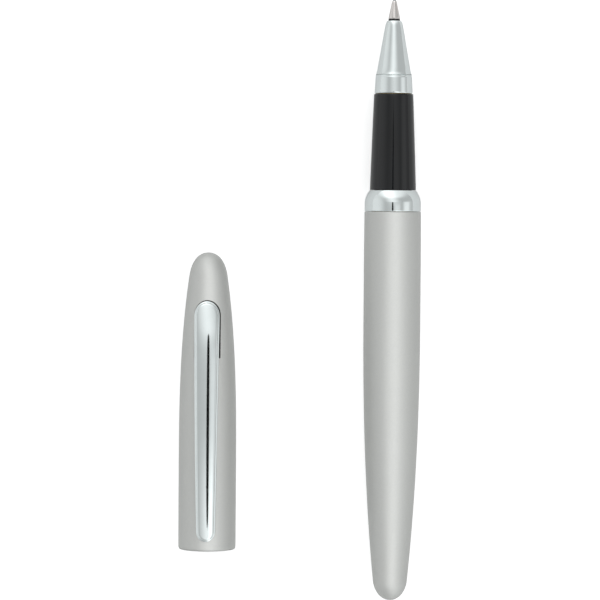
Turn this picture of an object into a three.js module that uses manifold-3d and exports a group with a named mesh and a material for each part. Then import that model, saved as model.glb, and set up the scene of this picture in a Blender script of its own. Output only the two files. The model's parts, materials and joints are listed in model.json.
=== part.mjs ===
// A rollerball pen with its cap off, both lying on a table: the nib points along +Y, and the cap lies beside the
// pen, its closed end towards +Y and its clip up. Millimetres, +Z up, origin on the table under the middle.
//
// Each half is made in a frame of its own, with the axis along Y and y = 0 at the front end: the writing ball for
// the pen, the closed end for the cap. Outlines are lists of [distance back from that end, radius].
import * as THREE from "three";
import { mergeVertices } from "three/addons/utils/BufferGeometryUtils.js";
import Module from "manifold-3d";

// Overall sizes and places.
const PEN_LENGTH = 117.7;
const BARREL_RADIUS = 5.57;
const CAP_LENGTH = 58.25;
const CAP_RADIUS = 5.63;
const AXIS_SPACING = 36;
const CAP_FRONT_Y = 9.2;
const PEN_X = (AXIS_SPACING + CAP_RADIUS - BARREL_RADIUS) / 2;
const CAP_X = PEN_X - AXIS_SPACING;

// Stations along the pen, back from the ball.
const NECK_START = 3.76;
const NOSE_START = 4.17;
const GRIP_START = 18.45;
const GRIP_END = 37.2;
const RING_START = 37.3;
const RING_END = 41.3;
const BARREL_START = 41.42;
const BUSH_END = 54;
const NIPPLE_END = 52;
const REFILL_START = 19.5;
const REFILL_END = 101.7;
const SPRING_END = 110.4;
const TAIL_CAVITY = 114;

// Radii inside the pen. Neighbours that slide or turn keep a running clearance of 0.05 or more.
const REFILL_RADIUS = 3.05;
const REFILL_WALL = 0.4;
const CORE_BORE = 3.15;
const CORE_RADIUS = 3.6;
const GRIP_BORE = 3.65;
const NIPPLE_ROOT = 3.75;
const NIPPLE_CREST = 4.05;
const RING_BORE = 4.12;
const RING_RADIUS = 5.5;
const BUSH_CREST = 4.15;
const BUSH_ROOT = 4.45;
const BUSH_RADIUS = 4.85;
const BARREL_BORE = 4.9;
const BARREL_WALL = 0.7;

// The refill's fibre parts.
const RESERVOIR_RADIUS = 2.58;
const WICK_RADIUS = 0.5;

// Threads between section and barrel, and where each one's ridge starts.
const THREAD_PITCH = 1;
const THREAD_TURNS = 3;
const NIPPLE_THREAD_START = 45;
const BUSH_THREAD_START = 45.5;

// The spring behind the refill.
const SPRING_WIRE = 0.25;
const SPRING_RADIUS = 1.95;
const SPRING_TURNS = 6;

// The writing point.
const BALL_RADIUS = 0.35;
const SOCKET_RADIUS = 0.37;
const INK_CHANNEL = 0.15;

// Stations and radii of the cap, back from its closed end.
const CAP_WALL = 0.6;
const CAP_BORE = 5.03;
const CAP_TAPER = { end: 42, drop: 0.4593, power: 2.78 };
const CAP_SHOULDER = 4.6;
const LINER_START = 17.6;
const LINER_END = 52.5;
const LINER_RADIUS = 4.95;
const CLUTCH_START = 53;
const CLUTCH_END = 56.2;
const LIP_START = 56.9;
const LIP_BORE = 4.92;

// The clip from above: its ends, the length of its round head and toe, and the slow narrowing of its sides.
const CLIP_START = 9.4;
const CLIP_END = 56.8;
const CLIP_HALF_WIDTH = 2.48;
const CLIP_HEAD = 2.9;
const CLIP_TOE = 2.4;
const CLIP_NARROWING = { slope: 0.0085, bend: 0.00022 };

// The clip from the side, as heights above the cap's axis.
const CLIP_RIM = 0.35;
const CLIP_RIM_DROP = 0.4;
const CLIP_THICKNESS = 0.95;
const CLIP_PAD_LEVEL = 5.7;
const CLIP_SKIRT_LEVEL = 3.4;
const CLIP_EARS = { from: 13.3, to: 17.7, level: 1.5, slant: 0.4 };
const CLIP_CREST = { back: 36.5, height: 7.1, bend: 0.00189 };
const CLIP_NECK = { back: 20, bend: 0.0006 };
const CLIP_PIVOT = { back: 15.5, height: 2.2, radius: 0.5, length: 6.5 };
const CLIP_CHANNEL = { from: 10.6, to: 19.9, halfWidth: 1.6, roof: 3.95 };

// The slot in the cap that the clip's head sits in, and its gap all round the clip.
const SLOT_GAP = 0.22;
const SLOT_END = 21;

// How finely round pieces are divided. A multiple of four keeps their widest points on X and Z.
const OUTER_SIDES = 32;
const INNER_SIDES = 20;
const PIN_SIDES = 16;
const WIRE_SIDES = 6;
const STEPS_PER_TURN = 12;
const QUARTER_STEPS = 6;

const manifold = await Module();
manifold.setup();

// ---------------------------------------------------------------- making and cutting solids

// A solid of revolution. Its outline runs backwards along the outside and forwards along the inside, and one that
// doesn't start on the axis closes on itself.
function turned(outline, sides = INNER_SIDES) {
  const points = outline.map(([back, radius]) => new THREE.Vector2(radius, -back));
  if (points[0].x > 0) points.push(points[0].clone());
  return new THREE.LatheGeometry(points.reverse(), sides);
}

function toSolid(geometry) {
  const bare = geometry.clone();
  bare.deleteAttribute("normal");
  bare.deleteAttribute("uv");
  const merged = mergeVertices(bare, 1e-4);
  return new manifold.Manifold(
    new manifold.Mesh({
      numProp: 3,
      vertProperties: merged.attributes.position.array,
      triVerts: new Uint32Array(merged.index.array),
    }),
  );
}

function toGeometry(solid) {
  const { vertProperties, triVerts } = solid.getMesh();
  const geometry = new THREE.BufferGeometry();
  geometry.setAttribute("position", new THREE.BufferAttribute(vertProperties, 3));
  geometry.setIndex(new THREE.BufferAttribute(triVerts, 1));
  geometry.computeVertexNormals();
  return geometry;
}

// Points along a smooth line through a few [distance back, height or radius] pairs.
function smoothLine(pairs, divisions) {
  const curve = new THREE.SplineCurve(pairs.map(([back, up]) => new THREE.Vector2(back, up)));
  return curve.getPoints(divisions).map((p) => [p.x, p.y]);
}

// Points on a Bezier arc from one pair to another, shaped by two control pairs.
function bezierLine(start, first, second, end, divisions) {
  const [a, b, c, d] = [start, first, second, end].map(([x, y]) => new THREE.Vector2(x, y));
  return new THREE.CubicBezierCurve(a, b, c, d).getPoints(divisions).map((p) => [p.x, p.y]);
}

// A round bar lying across the cap, along X.
function crossBar(back, height, radius, length) {
  const bar = new THREE.CylinderGeometry(radius, radius, length, PIN_SIDES);
  bar.rotateZ(Math.PI / 2);
  bar.translate(0, -back, height);
  return bar;
}

// A block given by its half width in X, its stretch along the cap and its lowest and highest level.
function block(halfWidth, from, to, low, high) {
  const box = new THREE.BoxGeometry(2 * halfWidth, to - from, high - low);
  box.translate(0, -(from + to) / 2, (low + high) / 2);
  return box;
}

// A right-hand helix round the axis.
class Helix extends THREE.Curve {
  constructor(radius, from, to, turns) {
    super();
    Object.assign(this, { radius, from, to, turns });
  }

  getPoint(t, target = new THREE.Vector3()) {
    const angle = 2 * Math.PI * this.turns * t;
    const back = this.from + (this.to - this.from) * t;
    return target.set(-this.radius * Math.sin(angle), -back, this.radius * Math.cos(angle));
  }
}

// A closed shape through points given as [x, y].
function shapeThrough(points) {
  const shape = new THREE.Shape();
  points.forEach(([x, y], i) => (i === 0 ? shape.moveTo(x, y) : shape.lineTo(x, y)));
  shape.closePath();
  return shape;
}

// A round wire along a helix.
function coil(helix, wireRadius) {
  const points = [];
  for (let i = 0; i < WIRE_SIDES; i += 1) {
    const angle = (2 * Math.PI * i) / WIRE_SIDES;
    points.push([wireRadius * Math.cos(angle), wireRadius * Math.sin(angle)]);
  }
  const steps = helix.turns * STEPS_PER_TURN;
  return new THREE.ExtrudeGeometry(shapeThrough(points), { steps, extrudePath: helix, bevelEnabled: false });
}

// Adds a rounded thread, a ridge of the given radius along a helix, to a threaded tube.
function threaded(tube, rootRadius, ridgeRadius, from) {
  const helix = new Helix(rootRadius, from, from + THREAD_TURNS * THREAD_PITCH, THREAD_TURNS);
  return toGeometry(toSolid(tube).add(toSolid(coil(helix, ridgeRadius))));
}

// ---------------------------------------------------------------- materials

function material(color, roughness, metalness) {
  return new THREE.MeshStandardMaterial({ color, roughness, metalness });
}

const MATERIALS = {
  lacquer: material(0xb9bab7, 0.42, 0.6),
  chrome: material(0xd9dddd, 0.08, 1),
  grip: material(0x232425, 0.18, 0),
  blackPlastic: material(0x161616, 0.35, 0),
  greyPlastic: material(0x6f7274, 0.5, 0),
  whitePlastic: material(0xe4e4de, 0.5, 0),
  nickelSilver: material(0xb5aea6, 0.22, 1),
  carbide: material(0x8d9094, 0.12, 1),
  brass: material(0xb8944e, 0.3, 1),
  steel: material(0xa8abad, 0.28, 1),
  fibre: material(0x24305c, 0.95, 0),
  seal: material(0x4a4a4c, 0.8, 0),
};

const named = (name, geometry, kind) => {
  const mesh = new THREE.Mesh(geometry, MATERIALS[kind]);
  mesh.name = name;
  return mesh;
};

// ---------------------------------------------------------------- barrel

// The barrel's outside: level over the balance point, then a gentle taper that steepens towards the tail.
const BARREL_TAPER = { start: 62, length: 53, drop: 0.42, power: 2.29, end: 114 };

function barrelRadius(back) {
  const s = Math.max(0, (back - BARREL_TAPER.start) / BARREL_TAPER.length);
  return BARREL_RADIUS * (1 - BARREL_TAPER.drop * s ** BARREL_TAPER.power);
}

function barrelShell() {
  const inside = [
    [TAIL_CAVITY, 0],
    [TAIL_CAVITY, 2.2],
  ];
  for (const back of [108, 100, 92, 84]) {
    inside.push([back, Math.min(BARREL_BORE, barrelRadius(back) - BARREL_WALL)]);
  }
  inside.push([76, BARREL_BORE], [BARREL_START, BARREL_BORE]);
  const outside = [
    [BARREL_START, 5.43],
    [BARREL_START + 0.12, 5.53],
    [50, BARREL_RADIUS],
  ];
  for (let back = BARREL_TAPER.start; back < BARREL_TAPER.end; back += 6.5) {
    outside.push([back, barrelRadius(back)]);
  }
  const tailRadius = barrelRadius(BARREL_TAPER.end);
  const tail = bezierLine(
    [BARREL_TAPER.end, tailRadius],
    [115.9, tailRadius - 0.19],
    [PEN_LENGTH, 1.8],
    [PEN_LENGTH, 0],
    5,
  );
  return turned([...inside, ...outside, ...tail], OUTER_SIDES);
}

function barrelBush() {
  const tube = turned([
    [BARREL_START + 0.1, BUSH_ROOT],
    [BARREL_START + 0.1, BUSH_RADIUS],
    [BUSH_END, BUSH_RADIUS],
    [BUSH_END, BUSH_ROOT],
  ]);
  return threaded(tube, BUSH_ROOT, BUSH_ROOT - BUSH_CREST, BUSH_THREAD_START);
}

function springSeat() {
  return turned([
    [SPRING_END - 2.4, 0],
    [SPRING_END - 2.4, 1.1],
    [SPRING_END + 0.1, 1.25],
    [SPRING_END + 0.1, 2.5],
    [SPRING_END + 1.6, 2.35],
    [SPRING_END + 3, 1.7],
    [SPRING_END + 3, 0],
  ]);
}

function refillSpring() {
  const front = REFILL_END + 0.1 + SPRING_WIRE;
  return coil(new Helix(SPRING_RADIUS, front, SPRING_END - SPRING_WIRE, SPRING_TURNS), SPRING_WIRE);
}

// ---------------------------------------------------------------- section

function trimRing() {
  return turned(
    [
      [RING_START, RING_BORE],
      [RING_START, 4.5],
      [RING_START + 0.2, 4.68],
      [RING_START + 1, 5.14],
      [RING_START + 1.7, 5.42],
      [RING_START + 2, RING_RADIUS],
      [RING_END - 0.15, RING_RADIUS],
      [RING_END, 5.38],
      [RING_END, RING_BORE],
    ],
    OUTER_SIDES,
  );
}

function gripSleeve() {
  const side = smoothLine(
    [
      [GRIP_START + 0.35, 3.86],
      [27.6, 4.22],
      [GRIP_END, 4.52],
    ],
    4,
  );
  return turned(
    [[GRIP_START, GRIP_BORE], [GRIP_START, 3.66], [GRIP_START + 0.1, 3.79], ...side, [GRIP_END, GRIP_BORE]],
    OUTER_SIDES,
  );
}

function noseCone() {
  const front = bezierLine([NOSE_START, 1.38], [4.5, 1.62], [5.3, 1.79], [6.1, 1.93], 3);
  return turned(
    [
      [NOSE_START, 1.2],
      ...front,
      [13.9, 3.27],
      [14.5, 3.44],
      [14.8, 3.55],
      [15.05, 3.46],
      [15.3, 3.58],
      [15.55, 3.55],
      [18.15, 3.7],
      [18.35, 3.6],
      [18.35, 3],
      [15, 3],
      [15, 2.45],
      [12.4, 2.45],
      [12.4, 1.75],
      [8, 1.75],
      [8, 1.2],
    ],
    OUTER_SIDES,
  );
}

// The inner tube: a spigot for the nose cone, a shoulder that stops the refill, and the threaded nipple.
function sectionCore() {
  const tube = turned([
    [15.3, 2.35],
    [15.3, 2.92],
    [GRIP_START, 2.92],
    [GRIP_START, CORE_RADIUS],
    [GRIP_END, CORE_RADIUS],
    [GRIP_END + 0.2, NIPPLE_CREST],
    [44, NIPPLE_CREST],
    [44, NIPPLE_ROOT],
    [NIPPLE_END, NIPPLE_ROOT],
    [NIPPLE_END, CORE_BORE],
    [REFILL_START - 0.2, CORE_BORE],
    [REFILL_START - 0.2, 2.35],
  ]);
  return threaded(tube, NIPPLE_ROOT, NIPPLE_CREST - NIPPLE_ROOT, NIPPLE_THREAD_START);
}

// ---------------------------------------------------------------- refill

function tipBall() {
  const ball = new THREE.SphereGeometry(BALL_RADIUS, 16, 10);
  ball.translate(0, -BALL_RADIUS, 0);
  return ball;
}

// The point: a bullet-shaped cone whose lip holds the ball in a round socket that an ink channel opens into.
function refillTip() {
  const lip = BALL_RADIUS - 0.07;
  const socket = [];
  for (let angle = -60; angle <= 10; angle += 17.5) {
    const turn = THREE.MathUtils.degToRad(angle);
    socket.push([BALL_RADIUS - SOCKET_RADIUS * Math.sin(turn), SOCKET_RADIUS * Math.cos(turn)]);
  }
  return turned([
    [lip, 0.4],
    [0.98, 0.6],
    [1.8, 0.76],
    [2.6, 0.96],
    [3.5, 1.12],
    [NECK_START, 1.13],
    [NECK_START, 0.85],
    [7.5, 0.85],
    [7.5, INK_CHANNEL],
    ...socket,
  ]);
}

function refillNeck() {
  return turned([
    [NECK_START + 0.04, 0.92],
    [NECK_START + 0.04, 1.13],
    [8.2, 1.13],
    [8.2, 1.6],
    [12.6, 1.65],
    [12.6, 2.2],
    [REFILL_START - 0.05, 2.25],
    [REFILL_START - 0.05, REFILL_RADIUS - 0.1],
    [REFILL_START + 0.6, REFILL_RADIUS],
    [REFILL_START + 1.2, REFILL_RADIUS],
    [REFILL_START + 1.2, 2.6],
    [24, 2.6],
    [24, 0.6],
    [7.7, 0.6],
    [7.7, 0.92],
  ]);
}

function refillTube() {
  return turned([
    [REFILL_START + 1.25, REFILL_RADIUS],
    [REFILL_END - 1.5, REFILL_RADIUS],
    [REFILL_END - 1.5, REFILL_RADIUS - REFILL_WALL],
    [REFILL_START + 1.25, REFILL_RADIUS - REFILL_WALL],
  ]);
}

function inkReservoir() {
  return turned([
    [25.6, 0],
    [25.6, 2.3],
    [26.2, RESERVOIR_RADIUS],
    [97.4, RESERVOIR_RADIUS],
    [98, 2.3],
    [98, 0],
  ]);
}

function inkWick() {
  return turned([
    [7.8, 0],
    [8.4, WICK_RADIUS],
    [25.5, WICK_RADIUS],
    [25.5, 0],
  ]);
}

function refillEndPlug() {
  return turned([
    [98.2, 0],
    [98.2, 2.55],
    [REFILL_END - 1.45, 2.6],
    [REFILL_END - 1.45, REFILL_RADIUS],
    [REFILL_END, 2.9],
    [REFILL_END, 1.35],
    [REFILL_END + 2.3, 1.15],
    [REFILL_END + 2.3, 0],
  ]);
}

// ---------------------------------------------------------------- cap

function capRadius(back) {
  const s = Math.max(0, (CAP_TAPER.end - back) / CAP_TAPER.end);
  return CAP_RADIUS * (1 - CAP_TAPER.drop * s ** CAP_TAPER.power);
}

const capInside = (back) => Math.min(CAP_BORE, capRadius(back) - CAP_WALL);

// Adds the right half of an outline, as [back, half width] pairs, and its mirror image to one closed shape.
function mirroredShape(rightSide) {
  const leftSide = rightSide.filter(([, half]) => half > 0).reverse();
  const right = rightSide.map(([back, half]) => [half, -back]);
  const left = leftSide.map(([back, half]) => [-half, -back]);
  return shapeThrough([...right, ...left]);
}

// The clip seen from above: a round head, a slow taper and a round toe, drawn in by an inset all round. With an
// end station it stops there, square, as the slot does that the head sits in.
function clipPlan(inset, end) {
  const [start, head, toe] = [CLIP_START + inset, CLIP_HEAD - inset, CLIP_TOE - inset];
  const [sideStart, sideEnd] = [start + head, end ?? CLIP_END - CLIP_TOE];
  const halfWidth = (back) => {
    const along = back - CLIP_START - CLIP_HEAD;
    return CLIP_HALF_WIDTH - inset - CLIP_NARROWING.slope * along - CLIP_NARROWING.bend * along ** 2;
  };
  const quarterAngle = (i) => (i * Math.PI) / (2 * QUARTER_STEPS);
  const outline = [];
  for (let i = 0; i < QUARTER_STEPS; i += 1) {
    const angle = quarterAngle(i);
    outline.push([start + head * (1 - Math.cos(angle)), halfWidth(sideStart) * Math.sin(angle)]);
  }
  const steps = Math.ceil((sideEnd - sideStart) / 9);
  for (let i = 0; i <= steps; i += 1) {
    const back = sideStart + ((sideEnd - sideStart) * i) / steps;
    outline.push([back, halfWidth(back)]);
  }
  if (end === undefined) {
    for (let i = 1; i < QUARTER_STEPS; i += 1) {
      const angle = quarterAngle(i);
      outline.push([sideEnd + toe * Math.sin(angle), halfWidth(sideEnd) * Math.cos(angle)]);
    }
    outline.push([sideEnd + toe, 0]);
  }
  return mirroredShape(outline);
}

function standingPrism(shape, low, high) {
  const prism = new THREE.ExtrudeGeometry(shape, { depth: high - low, bevelEnabled: false });
  prism.translate(0, 0, low);
  return prism;
}

// The height of the clip's top line: a shallow arch that falls away faster over the head.
function clipTop(back) {
  const overHead = Math.max(0, CLIP_NECK.back - back);
  const arch = CLIP_CREST.bend * (back - CLIP_CREST.back) ** 2;
  return CLIP_CREST.height - arch - CLIP_NECK.bend * overHead ** 3;
}

// The clip seen from the side: the arm, its toe pad, the skirt round the head and the ears that the pin goes
// through. The drop lowers the top line.
function clipSide(drop) {
  const [before, beyond] = [CLIP_START - 0.1, CLIP_END + 0.1];
  const top = [before, 10.6, 12, 14, 16, 18, 21, 25, 30, 36, 42, 48, 53, beyond].map((back) => [back, clipTop(back)]);
  const arm = [50, 44, 36, 28, 22].map((back) => [back, clipTop(back) - CLIP_THICKNESS]);
  const underside = [
    [beyond, CLIP_PAD_LEVEL + 0.05],
    [55.6, CLIP_PAD_LEVEL],
    [53.4, CLIP_PAD_LEVEL],
    ...arm,
    [20.7, 5.4],
    [20.7, CLIP_SKIRT_LEVEL],
    [CLIP_EARS.to, CLIP_SKIRT_LEVEL],
    [CLIP_EARS.to - CLIP_EARS.slant, CLIP_EARS.level],
    [CLIP_EARS.from + CLIP_EARS.slant, CLIP_EARS.level],
    [CLIP_EARS.from, CLIP_SKIRT_LEVEL],
    [before, CLIP_SKIRT_LEVEL + 0.1],
  ];
  const lowered = top.map(([back, height]) => [back, height - drop]);
  const shape = shapeThrough([...lowered, ...underside].map(([back, height]) => [-back, height]));
  const width = 8;
  const slab = new THREE.ExtrudeGeometry(shape, { depth: width, bevelEnabled: false });
  slab.translate(0, 0, -width / 2);
  const [x, y, z] = [new THREE.Vector3(1, 0, 0), new THREE.Vector3(0, 1, 0), new THREE.Vector3(0, 0, 1)];
  return slab.applyMatrix4(new THREE.Matrix4().makeBasis(y, z, x));
}

// A narrow crown on a wider rim, hollow below the head, with a bore for the pin.
function clip() {
  const layer = (inset, drop) => {
    const plan = toSolid(standingPrism(clipPlan(inset), 1, 9));
    return plan.intersect(toSolid(clipSide(drop)));
  };
  const { back, height, radius } = CLIP_PIVOT;
  const { from, to, halfWidth, roof } = CLIP_CHANNEL;
  const channel = toSolid(block(halfWidth, from, to, 1, roof));
  const bore = toSolid(crossBar(back, height, radius + 0.05, 8));
  return toGeometry(layer(0, CLIP_RIM_DROP).add(layer(CLIP_RIM, 0)).subtract(channel).subtract(bore));
}

function capShell() {
  const shoulder = [CAP_SHOULDER, capRadius(CAP_SHOULDER)];
  const crown = bezierLine([0, 0], [0, 2.2], [2, shoulder[1] - 0.36], shoulder, 6);
  const outside = [7.5, 10.5, 14, 18, 22, 27, 33, CAP_TAPER.end].map((back) => [back, capRadius(back)]);
  const inside = [32, 27, 22, 18, 14, 10, 7].map((back) => [back, capInside(back)]);
  const shell = turned(
    [
      ...crown,
      ...outside,
      [CAP_LENGTH - 0.5, CAP_RADIUS],
      [CAP_LENGTH - 0.15, 5.55],
      [CAP_LENGTH, 5.38],
      [CAP_LENGTH, 5.1],
      [CAP_LENGTH - 0.35, LIP_BORE],
      [LIP_START, LIP_BORE],
      [LIP_START, CAP_BORE],
      ...inside,
      [CAP_SHOULDER, 3.1],
      [2.4, 2.3],
      [1.3, 1.2],
      [1.3, 0],
    ],
    OUTER_SIDES,
  );
  const slot = toSolid(standingPrism(clipPlan(-SLOT_GAP, SLOT_END), 2, 8));
  return toGeometry(toSolid(shell).subtract(slot));
}

// The inner cap: a closed cup round the refill's point, a cone round the nose and a sleeve round the grip.
function capLiner() {
  return turned([
    [LINER_START, 0],
    [LINER_START, 2.4],
    [24, 2.9],
    [34, 4.55],
    [36.5, LINER_RADIUS],
    [LINER_END, LINER_RADIUS],
    [LINER_END, 4.62],
    [41.5, 4.62],
    [38.3, 4.05],
    [34.5, 3.52],
    [24.3, 1.75],
    [18.6, 1.6],
    [18.6, 0],
  ]);
}

function tipSeal() {
  return turned([
    [18.65, 0],
    [18.65, 1.5],
    [19.5, 1.5],
    [19.8, 1.2],
    [19.8, 0.6],
    [19.6, 0.25],
    [19.55, 0],
  ]);
}

// The split ring, with three low dimples inside, open at the bottom.
function capClutchRing() {
  const steps = 24;
  const [opening, outer, inner, dimple] = [Math.PI / 6, 4.97, 4.64, 0.06];
  const at = (i) => -Math.PI / 2 + opening + ((2 * Math.PI - 2 * opening) * i) / steps;
  const points = [];
  for (let i = 0; i <= steps; i += 1) {
    points.push([outer * Math.cos(at(i)), outer * Math.sin(at(i))]);
  }
  for (let i = steps; i >= 0; i -= 1) {
    const radius = i % 8 === 4 ? inner - dimple : inner;
    points.push([radius * Math.cos(at(i)), radius * Math.sin(at(i))]);
  }
  const depth = CLUTCH_END - CLUTCH_START;
  const ring = new THREE.ExtrudeGeometry(shapeThrough(points), { depth, bevelEnabled: false });
  ring.rotateX(Math.PI / 2);
  ring.translate(0, -CLUTCH_START, 0);
  return ring;
}

// The block in the cap's head: a pocket open above and behind, with a blind bore in each cheek for the pin.
function clipCarrier() {
  const stations = [6.6, 10, 14, 17.3];
  const body = turned([
    [stations[0], 0],
    ...stations.map((back) => [back, capInside(back) - 0.12]),
    [stations.at(-1), 0],
  ]);
  const { back, height, radius } = CLIP_PIVOT;
  const pocket = toSolid(block(2.72, CLIP_START - SLOT_GAP - 0.1, 18, 1, 9));
  const bore = toSolid(crossBar(back, height, radius + 0.04, CLIP_PIVOT.length + 0.1));
  return toGeometry(toSolid(body).subtract(pocket).subtract(bore));
}

function clipPin() {
  const { back, height, radius, length } = CLIP_PIVOT;
  return crossBar(back, height, radius, length);
}

// A strip that lies on the pocket's floor under the pin and curves up to the roof of the clip's head.
function clipSpring() {
  const [width, thickness] = [2.6, 0.25];
  const line = [
    [17, 1.2],
    [14.2, 1.2],
    [12.8, 1.7],
    [11.8, 2.8],
    [11.3, 3.72],
  ];
  const path = new THREE.CatmullRomCurve3(line.map(([back, height]) => new THREE.Vector3(0, -back, height)));
  const [x, y] = [width / 2, thickness / 2];
  const section = shapeThrough([
    [-x, -y],
    [x, -y],
    [x, y],
    [-x, y],
  ]);
  return new THREE.ExtrudeGeometry(section, { steps: 14, extrudePath: path, bevelEnabled: false });
}

// ---------------------------------------------------------------- assembly

const pen = new THREE.Group();
pen.position.set(PEN_X, PEN_LENGTH / 2, BARREL_RADIUS);
pen.add(
  named("barrel_shell", barrelShell(), "lacquer"),
  named("barrel_bush", barrelBush(), "brass"),
  named("spring_seat", springSeat(), "whitePlastic"),
  named("refill_spring", refillSpring(), "steel"),
  named("trim_ring", trimRing(), "chrome"),
  named("grip_sleeve", gripSleeve(), "grip"),
  named("section_core", sectionCore(), "brass"),
  named("nose_cone", noseCone(), "chrome"),
  named("refill_tube", refillTube(), "greyPlastic"),
  named("refill_neck", refillNeck(), "blackPlastic"),
  named("refill_tip", refillTip(), "nickelSilver"),
  named("tip_ball", tipBall(), "carbide"),
  named("ink_reservoir", inkReservoir(), "fibre"),
  named("ink_wick", inkWick(), "fibre"),
  named("refill_end_plug", refillEndPlug(), "blackPlastic"),
);

const cap = new THREE.Group();
cap.position.set(CAP_X, CAP_FRONT_Y, CAP_RADIUS);
cap.add(
  named("cap_shell", capShell(), "lacquer"),
  named("cap_liner", capLiner(), "whitePlastic"),
  named("tip_seal", tipSeal(), "seal"),
  named("cap_clutch_ring", capClutchRing(), "steel"),
  named("clip", clip(), "chrome"),
  named("clip_carrier", clipCarrier(), "blackPlastic"),
  named("clip_pin", clipPin(), "steel"),
  named("clip_spring", clipSpring(), "steel"),
);

const rollerballPen = new THREE.Group();
rollerballPen.add(pen, cap);

export default rollerballPen;
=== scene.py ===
import json
import math

import bmesh
import bpy
from mathutils import Matrix, Vector

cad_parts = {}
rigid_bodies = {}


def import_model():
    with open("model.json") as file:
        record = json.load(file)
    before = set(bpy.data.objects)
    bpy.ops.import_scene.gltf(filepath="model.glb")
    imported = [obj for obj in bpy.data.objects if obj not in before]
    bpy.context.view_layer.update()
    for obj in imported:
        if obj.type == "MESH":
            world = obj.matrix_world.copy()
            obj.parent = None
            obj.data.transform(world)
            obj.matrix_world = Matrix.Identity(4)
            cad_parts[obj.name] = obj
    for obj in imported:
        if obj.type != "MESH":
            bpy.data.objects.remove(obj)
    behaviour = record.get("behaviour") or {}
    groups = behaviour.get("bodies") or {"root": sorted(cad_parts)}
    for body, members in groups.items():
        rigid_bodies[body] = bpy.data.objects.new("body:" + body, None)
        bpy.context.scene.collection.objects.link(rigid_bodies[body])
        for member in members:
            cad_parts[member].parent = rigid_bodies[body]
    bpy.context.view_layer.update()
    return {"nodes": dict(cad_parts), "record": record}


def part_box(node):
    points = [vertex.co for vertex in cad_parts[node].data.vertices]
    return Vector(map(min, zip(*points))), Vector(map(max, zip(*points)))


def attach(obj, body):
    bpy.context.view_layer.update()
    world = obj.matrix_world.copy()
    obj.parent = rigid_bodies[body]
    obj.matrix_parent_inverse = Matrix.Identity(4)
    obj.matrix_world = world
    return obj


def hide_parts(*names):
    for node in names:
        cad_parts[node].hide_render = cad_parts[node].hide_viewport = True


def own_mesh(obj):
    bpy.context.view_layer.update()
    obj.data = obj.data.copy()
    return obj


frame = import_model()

MM = 0.001
SHARP_ANGLE = math.radians(35)
ON_AXIS = 1e-6
MERGE_DISTANCE = 1e-5

# ---------------------------------------------------------------- the halves' own frames


def front_frame(round_node, front_node):
    """The frame with its origin at a half's front end, its axis back along -Y, in millimetres."""
    low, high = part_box(round_node)
    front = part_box(front_node)[1].y
    place = Matrix.Translation(((low.x + high.x) / 2, front, (low.z + high.z) / 2))
    return place @ Matrix.Scale(MM, 4)


PEN = front_frame("barrel_shell", "tip_ball")
CAP = front_frame("cap_shell", "cap_shell")

# ---------------------------------------------------------------- lines


def bezier(a, b, c, d, steps):
    """Points of a cubic curve from a to d, drawn towards b and c on the way."""
    points = []
    for i in range(steps + 1):
        t = i / steps
        s = 1 - t
        weights = (s ** 3, 3 * s * s * t, 3 * s * t * t, t ** 3)
        points.append(tuple(sum(w * p[k] for w, p in zip(weights, (a, b, c, d))) for k in (0, 1)))
    return points


def sampled(radius_at, start, end, steps):
    """Points of an outline whose radius is a formula."""
    stations = [start + (end - start) * i / steps for i in range(steps + 1)]
    return [(back, radius_at(back)) for back in stations]


def eased(outline, closed, steps=4):
    """The outline with each corner that has a third value rounded, between two points that hold the sides."""
    hold = 1.5
    points = []
    count = len(outline)
    for i, corner in enumerate(outline):
        here = Vector(corner[:2])
        if len(corner) == 2 or (not closed and i in (0, count - 1)):
            points.append(here)
            continue
        before = (Vector(outline[i - 1][:2]) - here).normalized()
        after = (Vector(outline[(i + 1) % count][:2]) - here).normalized()
        ease = corner[2]
        points.append(here + before * ease * hold)
        for k in range(steps + 1):
            t = k / steps
            points.append(here + before * ease * (1 - t) ** 2 + after * ease * t ** 2)
        points.append(here + after * ease * hold)
    return points


# ---------------------------------------------------------------- meshes


def new_object(name, bm, place):
    """A smooth object from a closed mesh made in a half's frame."""
    bmesh.ops.transform(bm, matrix=place, verts=bm.verts)
    if bm.calc_volume(signed=True) < 0:
        bmesh.ops.reverse_faces(bm, faces=bm.faces)
    mesh = bpy.data.meshes.new(name)
    bm.to_mesh(mesh)
    bm.free()
    mesh.shade_smooth()
    mesh.set_sharp_from_angle(angle=SHARP_ANGLE)
    piece = bpy.data.objects.new(name, mesh)
    bpy.context.scene.collection.objects.link(piece)
    return piece


def rows_to_mesh(rows, capped=False):
    """A mesh through rings of points; a row of one point closes the surface to it."""
    bm = bmesh.new()
    made = [[bm.verts.new(point) for point in row] for row in rows]
    for near, far in zip(made, made[1:]):
        count = max(len(near), len(far))
        for i in range(count):
            j = (i + 1) % count
            corners = [near[i % len(near)], near[j % len(near)], far[j % len(far)], far[i % len(far)]]
            unique = list(dict.fromkeys(corners))
            if len(unique) > 2:
                bm.faces.new(unique)
    if capped:
        bm.faces.new(made[0])
        bm.faces.new(list(reversed(made[-1])))
    return bm


def turned(name, outline, place, sides, ridge=None):
    """A solid of revolution. Ridge, if given, changes a radius by its station and angle, as a thread does."""
    closed = outline[0][1] > 0
    points = eased(outline, closed)
    if closed:
        points.append(points[0])
    rows = []
    for back, radius in points:
        if radius < ON_AXIS:
            rows.append([Vector((0, -back, 0))])
            continue
        row = []
        for i in range(sides):
            angle = 2 * math.pi * i / sides
            r = ridge(back, angle, radius) if ridge else radius
            row.append(Vector((r * math.sin(angle), -back, r * math.cos(angle))))
        rows.append(row)
    bm = rows_to_mesh(rows)
    bmesh.ops.remove_doubles(bm, verts=bm.verts, dist=MERGE_DISTANCE)
    return new_object(name, bm, place)


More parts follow.
